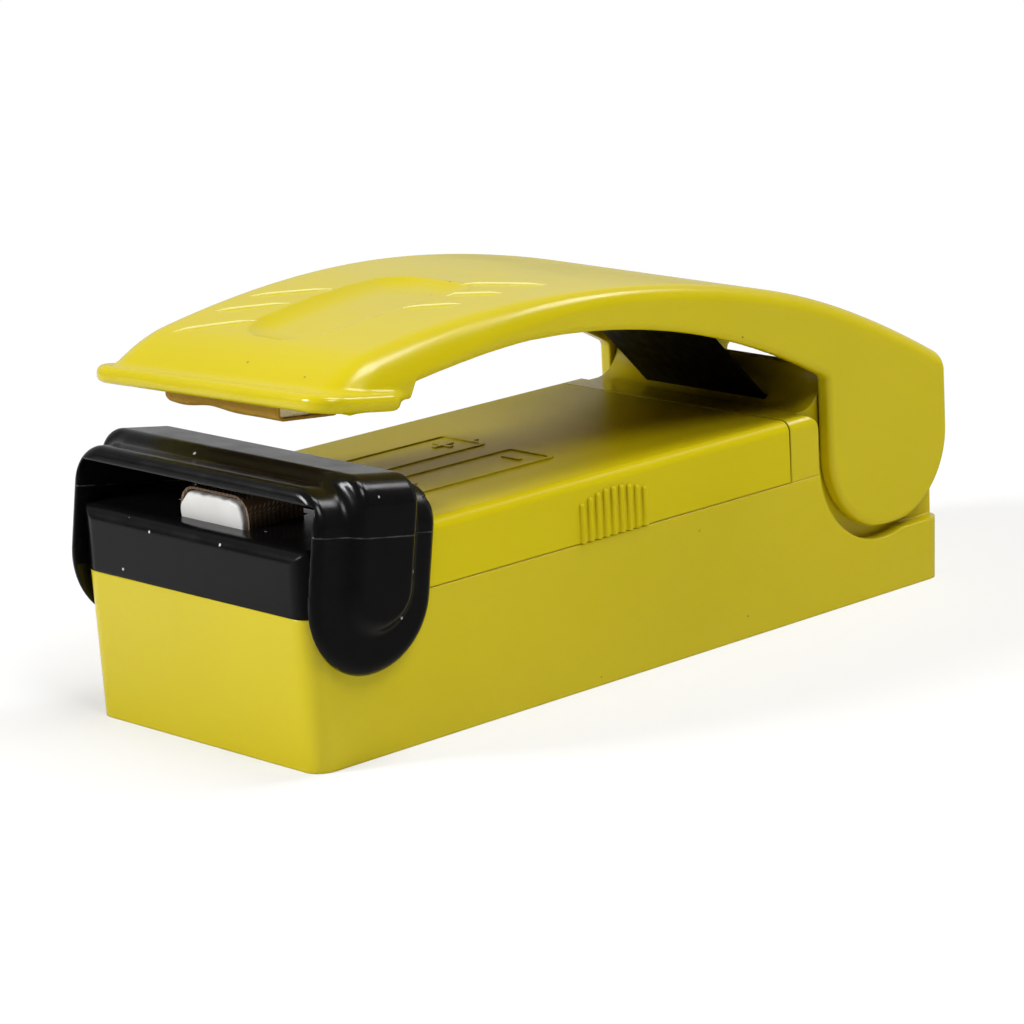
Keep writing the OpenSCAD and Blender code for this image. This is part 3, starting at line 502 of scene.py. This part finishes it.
def thumb_depth(x, y):
    """How deep the thumb hollow is there: crisp at its rim, flat in the middle, wider behind."""
    widen = 1 + THUMB_WIDEN * (y - THUMB_Y)
    rim = rectangle(x / widen, y - THUMB_Y, THUMB_HALF, THUMB_LENGTH / 2, THUMB_CORNER)
    inward = np.clip(-rim / THUMB_SLOPE, 0, 1)
    return THUMB_DEPTH * (1 - (1 - inward) ** 2)


def lever_field(x, y, z):
    fuller = FULLER_RISE * np.exp(-((y - FULLER_Y) / FULLER_SPREAD) ** 2)
    top = np.hypot(y - ARCH[0], z - ARCH[1]) - ARCH_R + thumb_depth(x, y) - fuller
    side = np.abs(x) - LEVER_HALF
    front = NOSE[0] + NOSE_SKEW * (x + LEVER_HALF)
    nose = (z - NOSE[1]) * math.cos(NOSE_SLOPE) - (y - front) * math.sin(NOSE_SLOPE)
    body = both(top, nose, NOSE_ROUND)
    body = both(body, side, ramp(y, 8, 50, *EDGE_ROUND))
    rear = np.hypot(np.maximum(y - PIVOT[0], 0), np.minimum(z - PIVOT[1], 0)) - CHEEK_R + 0.02
    body = both(body, rear, REAR_ROUND)
    body = both(body, lever_side(y, z), LOWER_ROUND)
    inner = both(np.hypot(y - ARCH[0], z - ARCH[1]) - (ARCH_R - LEVER_WALL),
                 side + LEVER_WALL, INSIDE_ROUND)
    inner = both(inner, nose + NOSE_WALL, INSIDE_NOSE_ROUND)
    body = both(body, -inner, RIM_ROUND)
    along, above = lip_place(x, y, z)
    corner = np.where(along < LIP_LENGTH / 2, *LIP_CORNER)
    plate = rectangle(x, along - LIP_LENGTH / 2, LIP_HALF, LIP_LENGTH / 2, corner)
    lip = both(plate, np.abs(above - LIP_THICK / 2) - LIP_THICK / 2, LIP_ROUND)
    body = either(body, lip, LIP_FILLET)
    stub = np.maximum(np.hypot(y - PIVOT[0], z - PIVOT[1]) - STUB_R,
                      np.maximum(np.abs(x) - STUB_X[1], STUB_X[0] - np.abs(x)))
    rib = np.maximum(rectangle(x, y - RIB_Y, RIB_HALF, RIB_HALF_THICK), RIB_Z - z)
    return np.minimum(np.minimum(body, stub), np.maximum(rib, top + 1))


LEVER_LOW, LEVER_HIGH = (-19.3, 2.7, 7.7), (19.3, 97.7, 43.4)
moulded("lever_shell", lever_field, LEVER_LOW, LEVER_HIGH, 0.34, YELLOW_LEVER,
        "lever", "lever_arm")


def add_piece(name, points, faces, material):
    """A smooth piece from points in mm, y behind the front face."""
    mesh = bpy.data.meshes.new(name)
    mesh.from_pydata([((Vector(p) + Vector((0, FRONT, 0))) * MM)[:] for p in points], [], faces)
    return new_piece(name, mesh, material)


def bead(name, path, radius, material, body, sides=10):
    """A round bead along a path given in mm, y behind the front face."""
    points, faces = [], []
    path = [Vector(p) for p in path]
    for i, p in enumerate(path):
        along = (path[min(i + 1, len(path) - 1)] - path[max(i - 1, 0)]).normalized()
        across = along.cross(Vector((0, 0, 1))).normalized()
        up = across.cross(along)
        for j in range(sides):
            a = math.tau * j / sides
            points.append(p + radius[i] * (math.cos(a) * across + math.sin(a) * up))
    for i in range(len(path) - 1):
        for j in range(sides):
            k = (j + 1) % sides
            faces.append((i * sides + j, i * sides + k, (i + 1) * sides + k, (i + 1) * sides + j))
    faces.append(tuple(range(sides))[::-1])
    faces.append(tuple(range(len(points) - sides, len(points))))
    piece = add_piece(name, points, faces, material)
    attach(piece, body)
    return piece


def crown(x, y):
    """Height of the lever's top surface."""
    heights = np.arange(arch_z(y) + 1, arch_z(y) - 4, -0.01)
    return float(heights[np.argmax(lever_field(x, y, heights) < 0)])


# Where each bead starts on the lever's top, and how far it runs in x and y
LINES = [((-12.9, 10.1), (7.2, 5.7)), ((-13.2, 16.3), (6.2, 5.2)), ((-13.8, 21.7), (6.7, 6.0)),
         ((3.3, 36.6), (7.7, 5.4)), ((6.1, 31.3), (5.0, 4.2)), ((6.7, 25.2), (4.7, 4.1))]
LINE_TIP_R, LINE_SWELL = 0.04, 0.18
LINE_SINK = 0.01


def make_lever_lines():
    """Six slanting beads on the lever's top, three on each side of the hollow."""
    steps = 14
    for index, ((x, y), (dx, dy)) in enumerate(LINES):
        path, radius = [], []
        for i in range(steps + 1):
            t = i / steps
            path.append((x + dx * t, y + dy * t, crown(x + dx * t, y + dy * t) - LINE_SINK))
            radius.append(LINE_TIP_R + LINE_SWELL * min(1, 5 * t, 5 * (1 - t)))
        # Each bead takes the paler yellow that paints its highlight.
        bead(f"lever_line_{index + 1}", path, radius, YELLOW_LINE_PAINTED_HIGHLIGHT, "lever")


make_lever_lines()


# ---------------------------------------------------------------- safety guard

# Lengths are measured from the guard's pivot, along the guard and up it.
SHELL_HALF, SHELL_TOP, SHELL_R = 20, 10.8, 8.2
SHELL_CENTRE = (0.23, -0.25)
BAND_HALF, BAND_TOP, BAND_R = 21.28, 12.2, 4.1
BAND_CENTRE = (0.5, 0.75)
GUARD_INSIDE, GUARD_WALL = 18.85, 1.15
CHANNEL_HALF = 3.0                # the hollow inside the band
# The front rim's back and lower edge. Any lower, and it cuts the case when the guard hangs down.
RIM_BACK, RIM_HEIGHT = -6.6, 9.05
PIN_HOLE_R, PIN_HOLE_REACH = 1.45, 19.95
SHELL_ROUND, BAND_ROUND, GUARD_INSIDE_ROUND = 4.2, 3.2, 1.2
# The edges' radii, in front and behind
SHELL_EDGE, BAND_EDGE, BAND_FILLET = (1.15, 1.6), (1.15, 1.2), (1.4, 1.0)


def slot_end(a, b, r):
    """A bar 2r wide with a round lower end; a runs across it and b up it, from the end's centre."""
    return np.where(b < 0, np.hypot(a, b), np.abs(a)) - r


def guard_field(x, y, z):
    s, c = math.sin(GUARD_LEAN), math.cos(GUARD_LEAN)
    along = (y - GUARD_PIVOT[0]) * c - (z - GUARD_PIVOT[1]) * s
    above = (y - GUARD_PIVOT[0]) * s + (z - GUARD_PIVOT[1]) * c
    shell = both(np.abs(x) - SHELL_HALF, above - SHELL_TOP, SHELL_ROUND)
    ends = slot_end(along - SHELL_CENTRE[0], above - SHELL_CENTRE[1], SHELL_R)
    shell = both(shell, ends, ramp(along, -3, 3, *SHELL_EDGE))
    band_along = along - BAND_CENTRE[0]
    band = both(np.abs(x) - BAND_HALF, above - BAND_TOP, BAND_ROUND)
    band_ends = slot_end(band_along, above - BAND_CENTRE[1], BAND_R)
    band = both(band, band_ends, ramp(band_along, -3, 3, *BAND_EDGE))
    body = either(shell, band, ramp(band_along, -3, 3, *BAND_FILLET))
    inner = both(np.abs(x) - GUARD_INSIDE, above - (SHELL_TOP - GUARD_WALL), GUARD_INSIDE_ROUND)
    rim = np.maximum(along - RIM_BACK, RIM_HEIGHT - above)
    inner = both(inner, -rim, 0.4)
    channel = both(np.abs(x) - GUARD_INSIDE, above - (BAND_TOP - GUARD_WALL), GUARD_INSIDE_ROUND)
    channel = np.maximum(channel, np.abs(band_along) - CHANNEL_HALF)
    body = both(body, -np.minimum(inner, channel), RIM_ROUND)
    hole = np.maximum(np.hypot(along, above) - PIN_HOLE_R, np.abs(x) - PIN_HOLE_REACH)
    return np.maximum(body, -hole)


GUARD_LOW, GUARD_HIGH = (-21.3, -1.2, 9.4), (21.3, 18.0, 30.6)
moulded("guard_shell", guard_field, GUARD_LOW, GUARD_HIGH, 0.3, BLACK_GUARD,
        "guard", "safety_guard")


# ---------------------------------------------------------------- heater block

BLOCK_HALF = 5.1
BLOCK_Y = (3.3, 11.2)
BLOCK_TOP, BLOCK_BOTTOM = 25.94, 19.95
UNEVEN_FROM = 21.3                # above this the cast block is a little uneven
FLANGE_HALF, FLANGE_RIM = 7.1, 0.7
FLANGE_Z, FLANGE_HALF_THICK = 20.5, 0.58


def block_field(x, y, z):
    mid, half = (BLOCK_Y[0] + BLOCK_Y[1]) / 2, (BLOCK_Y[1] - BLOCK_Y[0]) / 2
    uneven = 0.07 * np.sin(1.7 * x + 0.6) * np.sin(2.1 * z + 1.2) + 0.05 * np.sin(3.9 * x)
    body = both(np.abs(x) - BLOCK_HALF, z - BLOCK_TOP, 2.3) + uneven * (z > UNEVEN_FROM)
    body = both(body, np.abs(y - mid) - half, 0.35)
    body = np.maximum(body, BLOCK_BOTTOM - z)
    flange = rectangle(x, y - mid, FLANGE_HALF, half + FLANGE_RIM, 0.3)
    flange = np.maximum(flange, np.abs(z - FLANGE_Z) - FLANGE_HALF_THICK)
    return np.minimum(body, flange)


BLOCK_LOW, BLOCK_HIGH = (-7.1, 2.6, 19.9), (7.1, 11.9, 26)
moulded("heater_block_shell", block_field, BLOCK_LOW, BLOCK_HIGH, 0.24, WHITE,
        "heater", "heater_block")


# ---------------------------------------------------------------- jaw pad and its cloth

PAD_HALF, PAD_THICK, CLOTH_THICK = 9.45, 1.4, 0.3
PAD_Y = (2.95, 10.6)              # start and end of the pad along the lip
PAD_Z = 36.5
PAD_ROOT = 0.45                   # how far the pad reaches up into the lip


def jaw_place(x, y, z):
    """Length along the jaw and depth under the lip, with the cloth's waves taken out."""
    s, c = math.sin(LEVER_SWING), math.cos(LEVER_SWING)
    y, z = y - LIP_START, z - PAD_Z
    wave = 0.24 * np.sin(0.59 * (x + 4.2)) * np.exp(-((x + 4) / 6) ** 2)
    return y * c - z * s - sum(PAD_Y) / 2, -(y * s + z * c) + wave


def pad_body(x, along, deep, half_x, half_y, thick, r):
    """A pad thick deep under the lip, rounded below by r and at its far end."""
    body = both(np.abs(along) - half_y, deep - thick, r)
    body = both(body, -x - half_x, 1.2)
    return np.maximum(np.maximum(body, x - half_x), -PAD_ROOT - deep)


def jaw_cloth_field(x, y, z):
    """Cloth round the pad's front, underside, back and far end; open at the near end."""
    along, deep = jaw_place(x, y, z)
    half_y = (PAD_Y[1] - PAD_Y[0]) / 2
    outer = pad_body(x, along, deep, PAD_HALF, half_y + CLOTH_THICK, PAD_THICK + CLOTH_THICK, 0.8)
    inner = pad_body(x, along, deep, PAD_HALF - CLOTH_THICK, half_y, PAD_THICK, 0.5)
    open_end = np.maximum(both(np.abs(along) - half_y, deep - PAD_THICK, 0.5),
                          CLOTH_THICK - PAD_HALF - x)
    return np.maximum(outer, -np.minimum(inner, open_end))


def jaw_pad_field(x, y, z):
    along, deep = jaw_place(x, y, z)
    half_y = (PAD_Y[1] - PAD_Y[0]) / 2
    return pad_body(x + 0.1, along, deep, PAD_HALF - CLOTH_THICK - 0.05, half_y - 0.02,
                    PAD_THICK - 0.02, 0.5)


JAW_LOW, JAW_HIGH = (-9.6, 5.0, 33.4), (9.6, 13.9, 37.2)
jaw_cloth = moulded("jaw_cloth_wrap", jaw_cloth_field, JAW_LOW, JAW_HIGH, 0.14, JAW_CLOTH,
                    "lever", "jaw_cloth")
jaw_pad = moulded("jaw_pad_foam", jaw_pad_field, JAW_LOW, JAW_HIGH, 0.2, FOAM, "lever", "jaw_pad")


# ---------------------------------------------------------------- springs

LEAF_HALF, LEAF_THICK = 9.3, 0.5
LEAF_TOP, LEAF_FOOT = (64.2, 36.46), (76.6, 23.76)      # mm behind the front face, height
LEAF_CURL = 0.5                   # radius of its turned-up foot
COIL_Y, COIL_R, COIL_WIRE = 7.25, 2.1, 0.25             # its middle, its turns and its wire
COIL_Z = (11.25, 19.65)
COIL_TURNS = 5


def make_leaf():
    """The flat spring under the lever, drawn in one fixed shape; its foot rests on the case, and on
    the real sealer its top bends with the lever.
    """
    top, foot = Vector((0, *LEAF_TOP)), Vector((0, *LEAF_FOOT))
    down = (foot - top).normalized()
    out = Vector((0, -down.z, down.y))
    steps = 16
    path = [(top.lerp(foot, i / steps), out) for i in range(steps + 1)]
    for degrees in (25, 50, 75, 100):
        turn = math.radians(degrees)
        inward = out * math.cos(turn) - down * math.sin(turn)
        path.append((foot + LEAF_CURL * (out - inward), inward))
    points, faces = [], []
    for place, normal in path:
        for x, side in ((-1, -1), (1, -1), (1, 1), (-1, 1)):
            points.append(place + Vector((x * LEAF_HALF, 0, 0)) + normal * side * LEAF_THICK / 2)
    for i in range(len(path) - 1):
        for j in range(4):
            k = (j + 1) % 4
            faces.append((4 * i + j, 4 * i + k, 4 * i + 4 + k, 4 * i + 4 + j))
    faces.append((3, 2, 1, 0))
    faces.append(tuple(range(len(points) - 4, len(points))))
    leaf = add_piece("leaf_strip", points, faces, DARK_STEEL)
    for polygon in leaf.data.polygons:
        polygon.use_smooth = False
    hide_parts("leaf_spring")
    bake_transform(leaf)


def make_coil():
    """The spring under the heater block, drawn at one fixed length; the real one shortens as the
    block is pressed down.
    """
    steps = COIL_TURNS * 24
    path = []
    for i in range(steps + 1):
        turn = math.tau * COIL_TURNS * i / steps
        path.append((COIL_R * math.cos(turn), COIL_Y + COIL_R * math.sin(turn),
                     COIL_Z[0] + (COIL_Z[1] - COIL_Z[0]) * i / steps))
    coil = bead("heater_coil", path, [COIL_WIRE] * len(path), STEEL, "base", 8)
    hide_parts("heater_spring")
    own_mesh(coil)


make_leaf()
make_coil()


# ---------------------------------------------------------------- stage

LIT_FROM, LIT_TO = 0.075, 0.21    # how far out the floor starts and ends turning plain white
LIT_NEAR = 0.44                   # how far it is lit from within under the object


def make_floor():
    half = 4.0
    mesh = bpy.data.meshes.new("floor")
    mesh.from_pydata([(-half, -half, 0), (half, -half, 0), (half, half, 0), (-half, half, 0)],
                     [], [(0, 1, 2, 3)])
    floor = bpy.data.objects.new("floor", mesh)
    bpy.context.scene.collection.objects.link(floor)
    m = Nodes("floor", Roughness=0.9)
    m.shader.inputs["Specular IOR Level"].default_value = 0.0
    m.link(m.mix_colour(m.noise(3, 2), (0.88, 0.88, 0.88, 1), (0.90, 0.90, 0.90, 1)),
           "Base Color")
    # To the camera it is partly lit from within, and plain white far from the object. In the
    # object's gloss it is a table, grey on the left and dark on the right; otherwise it is pale.
    sight = m.add("LightPath").outputs
    across = m.add("SeparateXYZ", {"Vector": m.where}).outputs["X"]
    shade = m.mix_colour(m.spread(across, -0.05, 0.04, 0, 1), (0.7, 0.7, 0.7, 1),
                         (0.10, 0.10, 0.10, 1))
    grey = m.add("BsdfDiffuse", {"Color": shade}).outputs[0]
    table = m.add("MixShader", {0: sight["Is Glossy Ray"], 1: m.shader.outputs[0], 2: grey})
    reach = m.add("VectorMath", {0: m.where}, operation="LENGTH").outputs["Value"]
    share = m.math("MULTIPLY", m.spread(reach, LIT_FROM, LIT_TO, LIT_NEAR, 1),
                   sight["Is Camera Ray"])
    white = m.add("Emission", {"Color": (1, 1, 1, 1), "Strength": 1.0}).outputs[0]
    blend = m.add("MixShader", {0: share, 1: table.outputs[0], 2: white}).outputs[0]
    m.tree.links.new(blend, m.output.inputs["Surface"])
    floor.data.materials.append(m.material)


def make_world():
    """Plain white to the camera. As light it is dim; in reflections it is bright behind."""
    world = bpy.data.worlds.new("studio")
    bpy.context.scene.world = world
    world.use_nodes = True
    tree = world.node_tree
    new, link = tree.nodes.new, tree.links.new

    def spread(value, **sockets):
        made = new("ShaderNodeMapRange")
        for socket, amount in {"Value": value, **sockets}.items():
            socket = socket.replace("_", " ")
            if isinstance(amount, bpy.types.NodeSocket):
                link(amount, made.inputs[socket])
            else:
                made.inputs[socket].default_value = amount
        return made.outputs["Result"]

    toward = new("ShaderNodeVectorMath")
    toward.operation = "DOT_PRODUCT"
    toward.inputs[1].default_value = (-0.73, 0.68, 0)
    link(new("ShaderNodeTexCoord").outputs["Generated"], toward.inputs[0])
    sight = new("ShaderNodeLightPath").outputs
    mirrored = spread(toward.outputs["Value"], From_Min=0.05, From_Max=0.9, To_Min=0.07, To_Max=0.54)
    light = spread(sight["Is Glossy Ray"], To_Min=0.09, To_Max=mirrored)
    strength = spread(sight["Is Camera Ray"], To_Min=light, To_Max=1.0)
    link(strength, tree.nodes["Background"].inputs["Strength"])
    tree.nodes["Background"].inputs["Color"].default_value = (1, 1, 1, 1)


def make_lamp(name, place, size, power, target=(0, 0, 0.02)):
    data = bpy.data.lights.new(name, "AREA")
    data.shape = "RECTANGLE"
    data.size, data.size_y = size
    data.energy = power
    lamp = bpy.data.objects.new(name, data)
    place, target = Vector(place), Vector(target)
    aim = (target - place).to_track_quat("-Z", "Y").to_matrix().to_4x4()
    lamp.matrix_world = Matrix.Translation(place) @ aim
    bpy.context.scene.collection.objects.link(lamp)


make_floor()
make_world()
make_lamp("key", (-0.45, -0.75, 0.55), (0.30, 0.30), 7.6)
make_lamp("top", (0.12, 0.18, 0.75), (0.22, 0.36), 2.6)
make_lamp("rim", (0.20, 0.56, 0.60), (0.24, 0.20), 1.45)
make_lamp("fill", (0.46, -0.10, 0.62), (0.25, 0.25), 2.0)

bpy.context.scene.view_settings.view_transform = "Standard"
